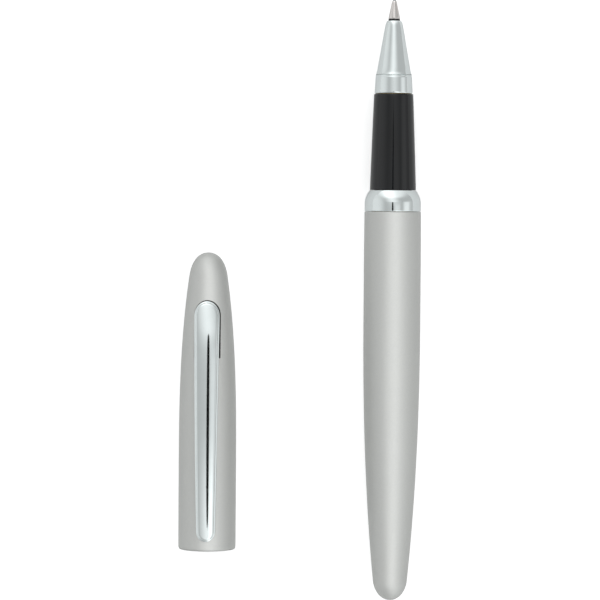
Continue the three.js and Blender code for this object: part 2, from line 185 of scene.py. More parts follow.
def swept(name, path, section, place):
    """A closed section, given as (across, up) pairs, carried along a path that stays in the upright plane."""
    across = Vector((1, 0, 0))
    rows = []
    for i, here in enumerate(path):
        ahead = path[min(i + 1, len(path) - 1)] - path[max(i - 1, 0)]
        up = across.cross(ahead).normalized()
        rows.append([here + across * x + up * y for x, y in section])
    return new_object(name, rows_to_mesh(rows, capped=True), place)


def spring_wire(name, wire, radius, start, end, turns, place):
    """A round wire coiled round the axis, its end turns closed up as on a compression spring."""
    steps, sides = 40, 14
    closed_turn = 2.3 * wire
    ring = [2 * math.pi * k / sides for k in range(sides)]
    pitch = (end - start - 2 * closed_turn) / (turns - 2)
    rows = []
    for i in range(turns * steps + 1):
        turn = i / steps
        middle = min(max(turn - 1, 0), turns - 2)
        back = start + closed_turn * (turn - middle) + pitch * middle
        angle = 2 * math.pi * turn
        out = Vector((-math.sin(angle), 0, math.cos(angle)))
        centre = out * radius - Vector((0, back, 0))
        rows.append([centre + out * wire * math.cos(a) + Vector((0, wire * math.sin(a), 0)) for a in ring])
    return new_object(name, rows_to_mesh(rows, capped=True), place)


def combine(piece, tool, operation):
    """Joins a solid to a piece, or takes it out of the piece, and keeps only the result."""
    boolean = piece.modifiers.new("combine", "BOOLEAN")
    boolean.operation = operation
    boolean.solver = "EXACT"
    boolean.object = tool
    bpy.context.view_layer.update()
    graph = bpy.context.evaluated_depsgraph_get()
    mesh = bpy.data.meshes.new_from_object(piece.evaluated_get(graph))
    mesh.set_sharp_from_angle(angle=SHARP_ANGLE)
    piece.modifiers.clear()
    piece.data = mesh
    bpy.data.objects.remove(tool)


def block(half_width, start, end, low, high, place):
    """A plain block to cut or join with, by its stations and levels."""
    corners = ((half_width, -start), (half_width, -end), (-half_width, -end), (-half_width, -start))
    rows = [[Vector((x, y, level)) for x, y in corners] for level in (low, high)]
    return new_object("block", rows_to_mesh(rows, capped=True), place)


# ---------------------------------------------------------------- barrel

PEN_LENGTH = 117.7
BARREL_RADIUS = 5.57
BARREL_START = 41.42
BARREL_BORE = 4.9
BARREL_WALL = 0.7
TAIL_CAVITY = 114
BARREL_TAPER = {"start": 62, "length": 53, "drop": 0.42, "power": 2.29}
THREAD_PITCH = 1


def barrel_radius(back):
    s = max(0, (back - BARREL_TAPER["start"]) / BARREL_TAPER["length"])
    return BARREL_RADIUS * (1 - BARREL_TAPER["drop"] * s ** BARREL_TAPER["power"])


def barrel_bore(back):
    return min(BARREL_BORE, barrel_radius(back) - BARREL_WALL)


def barrel_shell(name):
    tail = barrel_radius(TAIL_CAVITY)
    outline = [
        (BARREL_START, 5.43, 0.03),
        (BARREL_START + 0.12, 5.53, 0.05),
        (50, BARREL_RADIUS, 1.5),
        *sampled(barrel_radius, BARREL_TAPER["start"], TAIL_CAVITY, 40),
        *bezier((TAIL_CAVITY, tail), (115.9, tail - 0.19), (PEN_LENGTH, 1.8), (PEN_LENGTH, 0), 20)[1:],
    ]
    inside = [
        (TAIL_CAVITY, 0),
        (TAIL_CAVITY, 2.2, 0.3),
        *sampled(barrel_bore, 108, 76, 12),
        (BARREL_START, BARREL_BORE, 0.08),
    ]
    return turned(name, [*inside, *outline], PEN, sides=192)


def thread(start, root, height):
    """A rounded right-hand ridge on a tube of that root radius, fading in and out over half a turn."""
    turns = 3
    half_width = 0.26

    def ridge(back, angle, radius):
        if abs(radius - root) > ON_AXIS:
            return radius
        along = (back - start) / THREAD_PITCH - angle / (2 * math.pi)
        whole = round(along)
        centre = whole + angle / (2 * math.pi)
        fade = min(1, 2 * max(0, min(centre, turns - centre)))
        bump = max(0, 1 - ((along - whole) / half_width) ** 2)
        return radius + height * fade * math.sqrt(bump)

    return ridge


def threaded_span(start, end, radius):
    """Closely spaced stations for the stretch that carries the thread."""
    steps_per_turn = 16
    steps = round(abs(end - start) * steps_per_turn / THREAD_PITCH)
    return sampled(lambda back: radius, start, end, steps)


def barrel_bush(name):
    root = 4.45
    depth = 0.3
    outline = [
        (BARREL_START + 0.1, root, 0.06),
        (BARREL_START + 0.1, 4.85, 0.08),
        (54, 4.85, 0.08),
        (54, root, 0.06),
        *threaded_span(49, 45, root),
    ]
    return turned(name, outline, PEN, sides=96, ridge=thread(45.5, root, -depth))


def spring_seat(name):
    outline = [
        (108, 0),
        (108, 1.1, 0.15),
        (110.5, 1.25, 0.1),
        (110.5, 2.5, 0.08),
        (112, 2.35, 0.3),
        (113.4, 1.7, 0.15),
        (113.4, 0),
    ]
    return turned(name, outline, PEN, sides=72)


def refill_spring(name):
    wire, radius, turns = 0.25, 1.95, 6
    start, end = 101.8, 110.4
    return spring_wire(name, wire, radius, start + wire, end - wire, turns, PEN)


# ---------------------------------------------------------------- section

# The pieces meet at hairlines a few hundredths wide.
GRIP_START = 18.45
GRIP_END = 37.2
RING_START = 37.24
RING_END = 41.38
NOSE_START = 4.17
NOSE_END = 18.43
GRIP_EDGE = 0.35


def trim_ring(name):
    """A chromed ring whose shoulder rises from the grip to the barrel in one smooth sweep."""
    shoulder = bezier((RING_START + 0.12, 4.6), (38, 5.06), (38.6, 5.42), (39.6, 5.5), 14)
    outline = [
        (RING_START, 4.12, 0.05),
        (RING_START, 4.5, 0.04),
        *shoulder,
        (RING_END - 0.15, 5.5, 0.05),
        (RING_END, 5.38, 0.05),
        (RING_END, 4.12, 0.05),
    ]
    return turned(name, outline, PEN, sides=192)


def grip_radius(back):
    """A slow flare, a little fuller at its middle, from the nose to the ring."""
    s = (back - GRIP_START - GRIP_EDGE) / (GRIP_END - GRIP_START - GRIP_EDGE)
    front, flare, fullness = 3.86, 0.66, 0.06
    return front + flare * s + fullness * s * (1 - s)


def grip_sleeve(name):
    start = GRIP_START
    outline = [
        (start, 3.65, 0.05),
        (start, 3.7),
        *bezier((start, 3.72), (start, 3.83), (start + 0.12, 3.85), (start + GRIP_EDGE, 3.86), 6),
        *sampled(grip_radius, start + 1, GRIP_END - 0.6, 16),
        (GRIP_END, 4.52, 0.08),
        (GRIP_END, 3.65, 0.05),
    ]
    return turned(name, outline, PEN, sides=192)


def cone_radius(back):
    """The straight flank of the nose cone, which starts where its rounded front ends."""
    start, start_radius, rise, length = 6.1, 1.93, 1.34, 7.8
    return start_radius + (back - start) * rise / length


def nose_cone(name):
    """A cone with two fine steps at its foot, and a bore for the refill's neck and the section's tube."""
    outline = [
        (NOSE_START, 1.2, 0.04),
        (NOSE_START, 1.38, 0.04),
        *bezier((4.25, 1.44), (4.5, 1.64), (5.3, 1.79), (6.1, 1.93), 10),
        *sampled(cone_radius, 6.6, 13.7, 14),
        (14.35, 3.38, 0.3),
        (14.6, 3.48, 0.06),
        (15, 3.505, 0.05),
        (15.15, 3.57, 0.05),
        (15.35, 3.585, 0.05),
        (NOSE_END - 0.3, 3.7, 0.06),
        (NOSE_END, 3.55, 0.05),
        (NOSE_END, 3, 0.04),
        (15, 3),
        (15, 2.45),
        (12.4, 2.45),
        (12.4, 1.75),
        (8, 1.75),
        (8, 1.2),
    ]
    return turned(name, outline, PEN, sides=192)


def section_core(name):
    root = 3.75
    height = 0.3
    outline = [
        (15.3, 2.35),
        (15.3, 2.92, 0.05),
        (GRIP_START, 2.92),
        (GRIP_START, 3.6),
        (GRIP_END, 3.6),
        (GRIP_END + 0.2, 4.05, 0.05),
        (44, 4.05, 0.08),
        (44.1, root),
        *threaded_span(44.4, 48.8, root),
        (52, root, 0.2),
        (52, 3.15, 0.08),
        (19.3, 3.15),
        (19.3, 2.35),
    ]
    return turned(name, outline, PEN, sides=96, ridge=thread(45, root, height))


# ---------------------------------------------------------------- refill

REFILL_START = 19.5
REFILL_END = 101.7
REFILL_RADIUS = 3.05
BALL_RADIUS = 0.35


def tip_ball(name):
    steps = 24
    outline = [(0, 0)]
    for i in range(1, steps):
        angle = math.pi * i / steps
        outline.append((BALL_RADIUS * (1 - math.cos(angle)), BALL_RADIUS * math.sin(angle)))
    outline.append((2 * BALL_RADIUS, 0))
    return turned(name, outline, PEN, sides=48)


def refill_tip(name):
    """A short crimped lip that holds the ball, two bullet-shaped steps and a socket with an ink channel."""
    socket_radius = BALL_RADIUS + 0.02
    lip_angle, floor_angle, steps = 10, -60, 8
    socket = []
    for i in range(steps + 1):
        angle = math.radians(lip_angle + (floor_angle - lip_angle) * i / steps)
        socket.append((BALL_RADIUS - socket_radius * math.sin(angle), socket_radius * math.cos(angle)))
    outline = [
        (0.28, 0.4, 0.01),
        (0.55, 0.5, 0.08),
        (0.98, 0.6, 0.1),
        *bezier((1.2, 0.64), (1.9, 0.77), (2.7, 0.98), (3.45, 1.11), 10),
        (3.6, 1.13, 0.05),
        (3.76, 1.13, 0.03),
        (3.76, 0.85),
        (7.5, 0.85),
        (7.5, 0.15),
        *reversed(socket),
    ]
    return turned(name, outline, PEN, sides=96)


def refill_neck(name):
    outline = [
        (3.8, 0.92),
        (3.8, 1.13, 0.03),
        (8.2, 1.13),
        (8.2, 1.6, 0.08),
        (12.6, 1.65),
        (12.6, 2.2, 0.08),
        (19.45, 2.25),
        (19.45, 2.95, 0.05),
        (20.1, REFILL_RADIUS, 0.1),
        (20.7, REFILL_RADIUS, 0.05),
        (20.7, 2.6),
        (24, 2.6, 0.1),
        (24, 0.6),
        (7.7, 0.6),
        (7.7, 0.92),
    ]
    return turned(name, outline, PEN, sides=96)


def refill_tube(name):
    start, end = REFILL_START + 1.25, REFILL_END - 1.5
    bore = REFILL_RADIUS - 0.4
    outline = [(start, REFILL_RADIUS, 0.05), (end, REFILL_RADIUS, 0.05), (end, bore), (start, bore)]
    return turned(name, outline, PEN, sides=96)


def ink_reservoir(name):
    outline = [(25.6, 0), (25.6, 2.3, 0.1), (26.2, 2.58, 0.2), (97.4, 2.58, 0.2), (98, 2.3, 0.1), (98, 0)]
    return turned(name, outline, PEN, sides=64)


def ink_wick(name):
    outline = [(7.8, 0), (8.4, 0.5, 0.2), (25.5, 0.5, 0.05), (25.5, 0)]
    return turned(name, outline, PEN, sides=48)


def refill_end_plug(name):
    outline = [
        (98.2, 0),
        (98.2, 2.55, 0.1),
        (100.25, 2.6),
        (100.25, REFILL_RADIUS, 0.08),
        (REFILL_END, 2.9, 0.2),
        (REFILL_END, 1.35, 0.1),
        (REFILL_END + 2.3, 1.15, 0.15),
        (REFILL_END + 2.3, 0),
    ]
    return turned(name, outline, PEN, sides=96)


# ---------------------------------------------------------------- cap

CAP_LENGTH = 58.25
CAP_RADIUS = 5.63
CAP_BORE = 5.03
CAP_WALL = 0.6
CAP_TAPER = {"length": 42, "drop": 0.4593, "power": 2.78}
LIP_BORE = 4.92
LIP_START = 56.9

CLIP_START = 9.4
CLIP_END = 56.3
CLIP_HEAD = 2.9
CLIP_TOE = 2
# The half width just behind the head, and how it falls with the distance from there and with its square.
CLIP_HALF_WIDTH = 2.48
CLIP_NARROWING = 0.0085
CLIP_CURVING = 0.00014
CLIP_PAD_LEVEL = 5.7
CLIP_THICKNESS = 0.95
CLIP_CROWN_RADIUS = 8.4
CLIP_PIVOT = (15.5, 2.2)
CLIP_EARS = {"half_width": 2.4, "start": 13.3, "end": 17.7, "low": 1.5, "high": 3.6}
CLIP_CHANNEL = {"half_width": 1.6, "start": 10.6, "end": 18.9, "low": 1, "high": 3.95}
CARRIER_POCKET = {"half_width": 2.72, "start": CLIP_START - 0.32, "end": 18, "low": 1, "high": 9}
# The skirt is the part of the clip's head that is sunk into the cap. Then come the free arm and the toe pad.
SKIRT_LEVEL = 3.45
SKIRT_END = 19.7
ARM_START = 20.3
ARM_END = 50
PAD_START = 53.4
PIN_RADIUS = 0.5
# The slot round the clip's head is a little wider than it, set off to the right and to the front.
SLOT_GAP = 0.1
SLOT_SHIFT = 0.06
SLOT_LEAD = 0.07
SLOT_END = 20.5


def cap_radius(back):
    """Straight from the mouth to the taper, then drawn in faster and faster towards the closed end."""
    s = max(0, (CAP_TAPER["length"] - back) / CAP_TAPER["length"])
    return CAP_RADIUS * (1 - CAP_TAPER["drop"] * s ** CAP_TAPER["power"])


def cap_bore(back):
    return min(CAP_BORE, cap_radius(back) - CAP_WALL)


def clip_plan(inset, end=None):
    """The right side of the clip's outline from above, drawn in by inset, from head to toe or only to end."""
    start, head, toe = CLIP_START + inset, CLIP_HEAD - inset, CLIP_TOE - inset
    side_start, side_end = start + head, end or CLIP_END - CLIP_TOE

    def half_width(back):
        along = back - CLIP_START - CLIP_HEAD
        return CLIP_HALF_WIDTH - inset - CLIP_NARROWING * along - CLIP_CURVING * along ** 2

    steps = 14
    outline = []
    for i in range(steps):
        angle = math.pi / 2 * i / steps
        outline.append((start + head * (1 - math.cos(angle)), half_width(side_start) * math.sin(angle)))
    outline += sampled(half_width, side_start, side_end, 64 if end is None else 12)
    if end is None:
        for i in range(1, steps + 1):
            angle = math.pi / 2 * i / steps
            outline.append((side_end + toe * math.sin(angle), half_width(side_end) * math.cos(angle)))
        outline[-1] = (outline[-1][0], 0)
    return outline


def clip_top(back):
    """The height of the clip's top line: a shallow arch that falls away faster over the head."""
    top, middle, head_end = 7.1, 36.5, 20
    arch, head_fall = 0.00189, 0.0006
    over_head = max(0, head_end - back)
    return top - arch * (back - middle) ** 2 - head_fall * over_head ** 3


def clip_underside(back):
    """The height of the underside: sunk skirt, free arm, and the toe pad that rests just above the cap."""
    arm = clip_top(min(back, ARM_END)) - CLIP_THICKNESS
    if back < SKIRT_END:
        return SKIRT_LEVEL
    if back < ARM_START:
        return SKIRT_LEVEL + (arm - SKIRT_LEVEL) * (back - SKIRT_END) / (ARM_START - SKIRT_END)
    s = min(1, max(0, back - ARM_END) / (PAD_START - ARM_END))
    return arm + (CLIP_PAD_LEVEL - arm) * s * s * (3 - 2 * s)


def clip(name):
    """A crowned arm inside a lower, rounded rim, with ears below its head that the pin goes through."""
    rim_drop, least_depth = 0.4, 0.67
    # Each loop round the clip: how far it is drawn in, and how far it lies below the top line.
    rim = [
        (0, 0.66),
        (0, 0.54),
        (0.02, 0.48),
        (0.06, rim_drop + 0.04),
        (0.12, rim_drop + 0.01),
        (0.2, rim_drop - 0.02),
        (0.27, rim_drop - 0.05),
        (0.31, rim_drop - 0.08),
        (0.34, 0.2),
        (0.37, 0.1),
        (0.43, 0.04),
        (0.53, 0.012),
        (0.66, 0),
    ]
    bm = bmesh.new()

    def loop(right_side, height_at):
        left_side = [(back, -half) for back, half in reversed(right_side[1:-1])]
        return [bm.verts.new((half, -back, height_at(back, half))) for back, half in right_side + left_side]

    def top_height(drop):
        return lambda back, half: clip_top(back) - half * half / (2 * CLIP_CROWN_RADIUS) - drop

    def bottom_height(back, half):
        return min(clip_underside(back), top_height(least_depth)(back, half))

    outer = clip_plan(0)
    crown = clip_plan(rim[-1][0])
    spine = [(back, 0) for back, half in crown]
    loops = []
    for share in (0, 0.5, 1):
        loops.append(loop([(back, half * share) for back, half in outer], bottom_height))
    loops += [loop(clip_plan(inset), top_height(drop)) for inset, drop in rim]
    for share in (0.85, 0.7, 0.55, 0.4, 0.25, 0.1, 0):
        shrunk = [(s[0] + (c[0] - s[0]) * share, c[1] * share) for s, c in zip(spine, crown)]
        loops.append(loop(shrunk, top_height(0)))
    for near, far in zip(loops, loops[1:]):
        for i in range(len(near)):
            j = (i + 1) % len(near)
            bm.faces.new((near[i], near[j], far[j], far[i]))
    bmesh.ops.remove_doubles(bm, verts=bm.verts, dist=10 * MERGE_DISTANCE)
    piece = new_object(name, bm, CAP)
    combine(piece, block(**CLIP_EARS, place=CAP), "UNION")
    combine(piece, block(**CLIP_CHANNEL, place=CAP), "DIFFERENCE")
    combine(piece, cross_bar("bore", 4, PIN_RADIUS + 0.05), "DIFFERENCE")
    return piece


def cap_shell(name):
    shoulder = 4.6
    crown = bezier((0, 0), (0, 2.2), (2, cap_radius(shoulder) - 0.36), (shoulder, cap_radius(shoulder)), 24)
    outline = [
        *crown,
        *sampled(cap_radius, shoulder + 0.6, CAP_TAPER["length"], 44),
        (CAP_LENGTH - 0.5, CAP_RADIUS, 0.2),
        (CAP_LENGTH - 0.15, 5.55, 0.08),
        (CAP_LENGTH, 5.38, 0.06),
        (CAP_LENGTH, 5.1, 0.05),
        (CAP_LENGTH - 0.35, LIP_BORE, 0.08),
        (LIP_START, LIP_BORE, 0.05),
        (LIP_START, CAP_BORE, 0.03),
        *sampled(cap_bore, 32, 7, 16),
        (shoulder, 3.1),
        (2.4, 2.3),
        (1.3, 1.2),
        (1.3, 0),
    ]
    shell = turned(name, outline, CAP, sides=192)
    combine(shell, slot_cutter(), "DIFFERENCE")
    return shell


def slot_cutter():
    """The opening for the clip's head, round in front, with straight sides and square at its back end."""
    low, high = 2, 8
    head_end = CLIP_START + CLIP_HEAD
    side = CLIP_HALF_WIDTH + SLOT_GAP
    head = [(back - SLOT_LEAD, half) for back, half in clip_plan(-SLOT_GAP, SLOT_END) if back < head_end]
    right = [*head, (head_end, side), (SLOT_END, side)]
    plan = right + [(back, -half) for back, half in reversed(right[1:])]
    rows = [[Vector((half + SLOT_SHIFT, -back, height)) for back, half in plan] for height in (low, high)]
    return new_object("slot_cutter", rows_to_mesh(rows, capped=True), CAP)


def cap_liner(name):
    outline = [
        (17.6, 0),
        (17.6, 2.4, 0.2),
        (24, 2.9, 1),
        (34, 4.55, 0.8),
        (36.5, 4.95, 0.5),
        (52.5, 4.95, 0.08),
        (52.5, 4.62, 0.08),
        (41.5, 4.62, 0.5),
        (38.3, 4.15, 0.5),
        (34.5, 3.68, 0.5),
        (24.3, 1.75, 0.3),
        (18.6, 1.6),
        (18.6, 0),
    ]
    return turned(name, outline, CAP, sides=96)


def tip_seal(name):
    outline = [
        (18.65, 0),
        (18.65, 1.5),
        (19.5, 1.5, 0.1),
        (19.8, 1.2, 0.1),
        (19.8, 0.6, 0.1),
        (19.6, 0.25, 0.1),
        (19.55, 0),
    ]
    return turned(name, outline, CAP, sides=64)


def cap_clutch_ring(name):
    """A split ring of spring strip, open at the bottom, with three shallow dimples pressed inwards."""
    start, end = 53, 56.2
    outer, inner = 4.97, 4.64
    dimple_radius, dimple_depth = 1.1, 0.06
    steps, strip_steps = 120, 12
    first_angle = -math.pi / 3
    sweep = 2 * math.pi - math.pi / 3
    profile = [(start, inner, 0.05), (start, outer, 0.05), (end, outer, 0.05), (end, inner, 0.05)]
    strip = [(start + (end - start) * k / strip_steps, inner) for k in range(strip_steps - 1, 0, -1)]
    section = eased(profile, True, steps=3) + [Vector(p) for p in strip]
    dimples = [first_angle + sweep * k / 6 for k in (1, 3, 5)]
    rows = []
    for i in range(steps + 1):
        angle = first_angle + sweep * i / steps
        row = []
        for back, radius in section:
            if abs(radius - inner) < ON_AXIS:
                around = min(abs(angle - dimple) * inner for dimple in dimples)
                off = math.hypot(around, back - (start + end) / 2) / dimple_radius
                radius -= dimple_depth * (0.5 + 0.5 * math.cos(math.pi * min(1, off)))
            row.append(Vector((radius * math.cos(angle), -back, radius * math.sin(angle))))
        rows.append(row)
    return new_object(name, rows_to_mesh(rows, capped=True), CAP)


def cross_bar(name, half_length, radius, ease=0):
    """A round bar through the clip's pivot, across the cap."""
    back, height = CLIP_PIVOT
    rim = (radius, ease) if ease else (radius,)
    outline = [(-half_length, 0), (-half_length, *rim), (half_length, *rim), (half_length, 0)]
    across = Matrix.Translation((0, -back, height)) @ Matrix.Rotation(math.pi / 2, 4, "Z")
    return turned(name, outline, CAP @ across, sides=48)


def clip_pin(name):
    return cross_bar(name, 3.25, PIN_RADIUS, ease=0.08)


def clip_carrier(name):
    """The moulded block in the cap's head, with a pocket for the clip's head and a bore for the pin."""
    start, end, play = 6.6, 17.3, 0.12
    outline = [(start, 0), *sampled(lambda back: cap_bore(back) - play, start, end, 12), (end, 0)]
    piece = turned(name, outline, CAP, sides=96)
    combine(piece, block(**CARRIER_POCKET, place=CAP), "DIFFERENCE")
    combine(piece, cross_bar("bore", 3.3, PIN_RADIUS + 0.04), "DIFFERENCE")
    return piece


def clip_spring(name):
    """A spring strip from the pocket's floor up to the roof of the clip's head."""
    width, thickness, edge = 2.6, 0.25, 0.04
    floor, roof = 1.2, 3.72
    rising = bezier((14.2, floor), (12.7, floor), (11.75, 2.4), (11.3, roof), 24)
    path = [Vector((0, -back, height)) for back, height in [(17, floor), (15.6, floor), *rising]]
    x, y = width / 2, thickness / 2
    section = eased([(-x, -y, edge), (x, -y, edge), (x, y, edge), (-x, y, edge)], True, steps=3)
    return swept(name, path, section, CAP)


# ---------------------------------------------------------------- finishes

# Noise seldom leaves this span.
NOISE_MIDDLE = (0.3, 0.7)


def feed(tree, value, socket):
    """Gives a socket a number, or links it to what another node puts out."""
    if isinstance(value, (int, float)):
        socket.default_value = value
    else:
        tree.links.new(value, socket)


def mapped(tree, value, numbers, interpolation="LINEAR"):
    """The value carried from between the first two numbers to between the last two."""
    node = tree.nodes.new("ShaderNodeMapRange")
    node.interpolation_type = interpolation
    for socket, number in zip(("Value", "From Min", "From Max", "To Min", "To Max"), (value, *numbers)):
        feed(tree, number, node.inputs[socket])
    return node.outputs["Result"]


class Finish:
    """A material being made: its principled shader, and textures that lie on the piece in millimetres."""

    def __init__(self, name, **sockets):
        self.material = bpy.data.materials.new(name)
        self.material.use_nodes = True
        self.tree = self.material.node_tree
        self.shader = self.tree.nodes["Principled BSDF"]
        for socket, value in sockets.items():
            self.shader.inputs[socket.replace("_", " ").title().replace("Ior", "IOR")].default_value = value
        self.coordinates = self.tree.nodes.new("ShaderNodeTexCoord").outputs["Object"]
        self.height = None

    def link(self, output, socket):
        self.tree.links.new(output, socket)

    def noise(self, size, detail, stretch=(1, 1, 1)):
        """Noise whose features are about size millimetres, drawn out along any axis by stretch."""
        mapping = self.tree.nodes.new("ShaderNodeMapping")
        mapping.inputs["Scale"].default_value = [1 / (MM * s) for s in stretch]
        self.link(self.coordinates, mapping.inputs["Vector"])
        node = self.tree.nodes.new("ShaderNodeTexNoise")
        node.inputs["Scale"].default_value = 1 / size
        node.inputs["Detail"].default_value = detail
        self.link(mapping.outputs["Vector"], node.inputs["Vector"])
        return node.outputs["Fac"]

    def colours(self, noise, stops):
        """Colours the surface by noise, through stops of (place, linear colour)."""
        ramp = self.tree.nodes.new("ShaderNodeValToRGB")
        elements = ramp.color_ramp.elements
        while len(elements) < len(stops):
            elements.new(0.5)
        for element, (place, colour) in zip(elements, stops):
            element.position = place
            element.color = (*colour, 1)
        self.link(noise, ramp.inputs["Fac"])
        self.link(ramp.outputs["Color"], self.shader.inputs["Base Color"])

    def roughness(self, noise, low, high):
        """Lets the roughness go from low to high over the noise's middle values."""
        spread = mapped(self.tree, noise, (*NOISE_MIDDLE, low, high))
        self.link(spread, self.shader.inputs["Roughness"])

    def relief(self, noise, depth):
        """Adds relief of that depth in millimetres on top of what is there."""
        bump = self.tree.nodes.new("ShaderNodeBump")
        bump.inputs["Distance"].default_value = depth * MM
        self.link(noise, bump.inputs["Height"])
        if self.height:
            self.link(self.height, bump.inputs["Normal"])
        self.height = bump.outputs["Normal"]
        self.link(self.height, self.shader.inputs["Normal"])


def tones(colour, spread):
    """Three stops round a colour, darker to lighter, over the noise's middle values."""
    low, high = NOISE_MIDDLE
    shades = ((low, 1 - spread), (0.5, 1), (high, 1 + spread))
    return [(place, tuple(shade * c for c in colour)) for place, shade in shades]


def lacquer():
    """Satin pearl lacquer over metal: fine flake, a soft coat and the faintest orange peel."""
    finish = Finish("satin_pearl_lacquer", metallic=1, coat_weight=0.15, coat_roughness=0.25, coat_ior=1.4)
    flake = finish.noise(0.05, detail=2)
    finish.colours(flake, tones((0.615, 0.62, 0.605), 0.045))
    finish.roughness(finish.noise(0.4, detail=3), 0.56, 0.62)
    finish.relief(flake, 0.0015)
    finish.relief(finish.noise(1.2, detail=2), 0.004)
    return finish.material


def chrome():
    """Polished chrome with a trace of haze and hairline scratches."""
    finish = Finish("polished_chrome", metallic=1)
    finish.colours(finish.noise(2.5, detail=2), tones((0.84, 0.89, 0.89), 0.012))
    haze = finish.noise(0.6, detail=4)
    finish.roughness(haze, 0.04, 0.075)
    finish.relief(finish.noise(0.15, detail=2, stretch=(1, 12, 1)), 0.0003)
    return finish.material


def grip():
    """Hard black plastic, moulded glossy, with the faint flow that mouldings have."""
    finish = Finish("gloss_black_grip", ior=1.5)
    flow = finish.noise(3, detail=3, stretch=(1, 3, 1))
    finish.colours(flow, tones((0.0048, 0.0054, 0.0064), 0.25))
    finish.roughness(finish.noise(0.5, detail=4), 0.06, 0.1)
    finish.relief(finish.noise(0.25, detail=3), 0.0003)
    return finish.material


def moulded(name, colour, rough, spread=0.08):
    """A moulded plastic or rubber with a fine grain."""
    finish = Finish(name, ior=1.46)
    finish.colours(finish.noise(1.5, detail=3), tones(colour, spread))
    finish.roughness(finish.noise(0.3, detail=3), rough - 0.05, rough + 0.05)
    finish.relief(finish.noise(0.12, detail=3), 0.003)
    return finish.material


def turned_metal(name, colour, rough, groove=0.05):
    """Metal with the fine rings that a lathe tool leaves round the axis."""
    finish = Finish(name, metallic=1)
    rings = finish.noise(groove, detail=2, stretch=(200, 1, 200))
    finish.colours(rings, tones(colour, 0.06))
    finish.roughness(finish.noise(0.4, detail=3), rough - 0.05, rough + 0.05)
    finish.relief(rings, 0.001)
    return finish.material


def spring_steel():
    """Bright drawn steel, a little patchy."""
    finish = Finish("bright_spring_steel", metallic=1)
    drawn = finish.noise(0.12, detail=4)
    finish.colours(drawn, tones((0.6, 0.61, 0.62), 0.08))
    finish.roughness(drawn, 0.2, 0.34)
    finish.relief(drawn, 0.001)
    return finish.material


def fibre():
    """Ink-soaked polyester fibre, drawn out along the pen."""
    finish = Finish("inky_fibre", sheen_weight=0.2)
    strands = finish.noise(0.12, detail=4, stretch=(1, 20, 1))
    finish.colours(strands, tones((0.02, 0.035, 0.12), 0.5))
    finish.roughness(strands, 0.8, 0.95)
    finish.relief(strands, 0.03)
    return finish.material


FINISHES = {
    "lacquer": lacquer(),
    "chrome": chrome(),
    "grip": grip(),
    "black_plastic": moulded("black_moulding", (0.012, 0.012, 0.012), 0.38, 0.3),
    "grey_plastic": moulded("grey_moulding", (0.16, 0.17, 0.18), 0.42),
    "white_plastic": moulded("white_moulding", (0.76, 0.76, 0.72), 0.45, 0.03),
    "nickel_silver": turned_metal("turned_nickel_silver", (0.8, 0.76, 0.74), 0.2, 0.03),
    "carbide": turned_metal("ground_carbide", (0.35, 0.36, 0.38), 0.14, 0.02),
    "brass": turned_metal("turned_brass", (0.78, 0.57, 0.24), 0.26),
    "steel": spring_steel(),
    "fibre": fibre(),
    "seal": moulded("soft_seal", (0.07, 0.07, 0.072), 0.7, 0.2),
}
# Blued steel for the pin, dark enough that it also paints the shade of the clip's slot, where the pin's end
# shows through the gap.
PIN_FINISH_AND_SLOT_SHADE = turned_metal("blued_pin_steel", (0.09, 0.09, 0.1), 0.4)

# ---------------------------------------------------------------- pieces

FINE_PIECES = (
    barrel_shell,
    barrel_bush,
    spring_seat,
    refill_spring,
    trim_ring,
    grip_sleeve,
    nose_cone,
    section_core,
    tip_ball,
    refill_tip,
    refill_neck,
    refill_tube,
    ink_reservoir,
    ink_wick,
    refill_end_plug,
    cap_shell,
    cap_liner,
    tip_seal,
    cap_clutch_ring,
    clip,
    clip_pin,
    clip_carrier,
    clip_spring,
)

BODY_OF = {node: body for body, nodes in frame["record"]["behaviour"]["bodies"].items() for node in nodes}
SLOT_OF = {part["node"]: part["material_slot"] for part in frame["record"]["subparts"]}


def squeeze(node):
    """Gives a spring's fine piece a mesh of its own."""
    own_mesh(bpy.data.objects[node + "_fine"])


def dress(piece, node):
    """Gives a piece the finish of its node, in place of whatever it had."""
    piece.data.materials.clear()
    piece.data.materials.append(PIN_FINISH_AND_SLOT_SHADE if node == "clip_pin" else FINISHES[SLOT_OF[node]])


for make in FINE_PIECES:
    node = make.__name__
    piece = make(node + "_fine")
    dress(piece, node)
    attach(piece, BODY_OF[node])
    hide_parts(node)

for node, solid in frame["nodes"].items():
    dress(solid, node)

# The two springs that the refill and the clip press on each get a mesh of their own.
for joint in frame["record"]["behaviour"]["joints"]:
    for row in joint.get("deforming_nodes", []):
        squeeze(row["node"])

# ---------------------------------------------------------------- table, light and camera

# The studio is measured in metres.
TABLE_HALF = 3
CAMERA_PLACE = Vector((0.012, 0.02, 0.61))
PICTURE_WIDTH = 0.1176
PICTURE_TURN = math.radians(0.44)
GAP_MIDDLE = (0.008, -0.0445)
GAP_HALF = (0.038, 0.148)
GAP_HEIGHT = 0.63
SOFTBOX_PLACE = (0.12, 0, 0.7)
SOFTBOX_SIZE = (0.7, 1.2)
SOFTBOX_ENERGY = 2.2
PAPER_GLOW = 0.55
WHITE_TO_CAMERA = 0.95
STUDIO_TINT = (0.985, 1, 1, 1)
BASE_LEVEL = 0.5


def flat_card(name, outline, height, material):
    """A level card that belongs to the studio, not to the pen."""
    mesh = bpy.data.meshes.new(name)
    mesh.from_pydata([(x, y, height) for x, y in outline], [], [range(len(outline))])
    mesh.materials.append(material)
    card = bpy.data.objects.new(name, mesh)
    bpy.context.scene.collection.objects.link(card)


def lit(tree, camera_level, other_level):
    """A level that differs for what the camera sees itself and for what reaches it off the pen."""
    path = tree.nodes.new("ShaderNodeLightPath").outputs["Is Camera Ray"]
    chosen = tree.nodes.new("ShaderNodeMix")
    for socket, value in (("A", other_level), ("B", camera_level), ("Factor", path)):
        feed(tree, value, chosen.inputs[socket])
    return chosen.outputs["Result"]


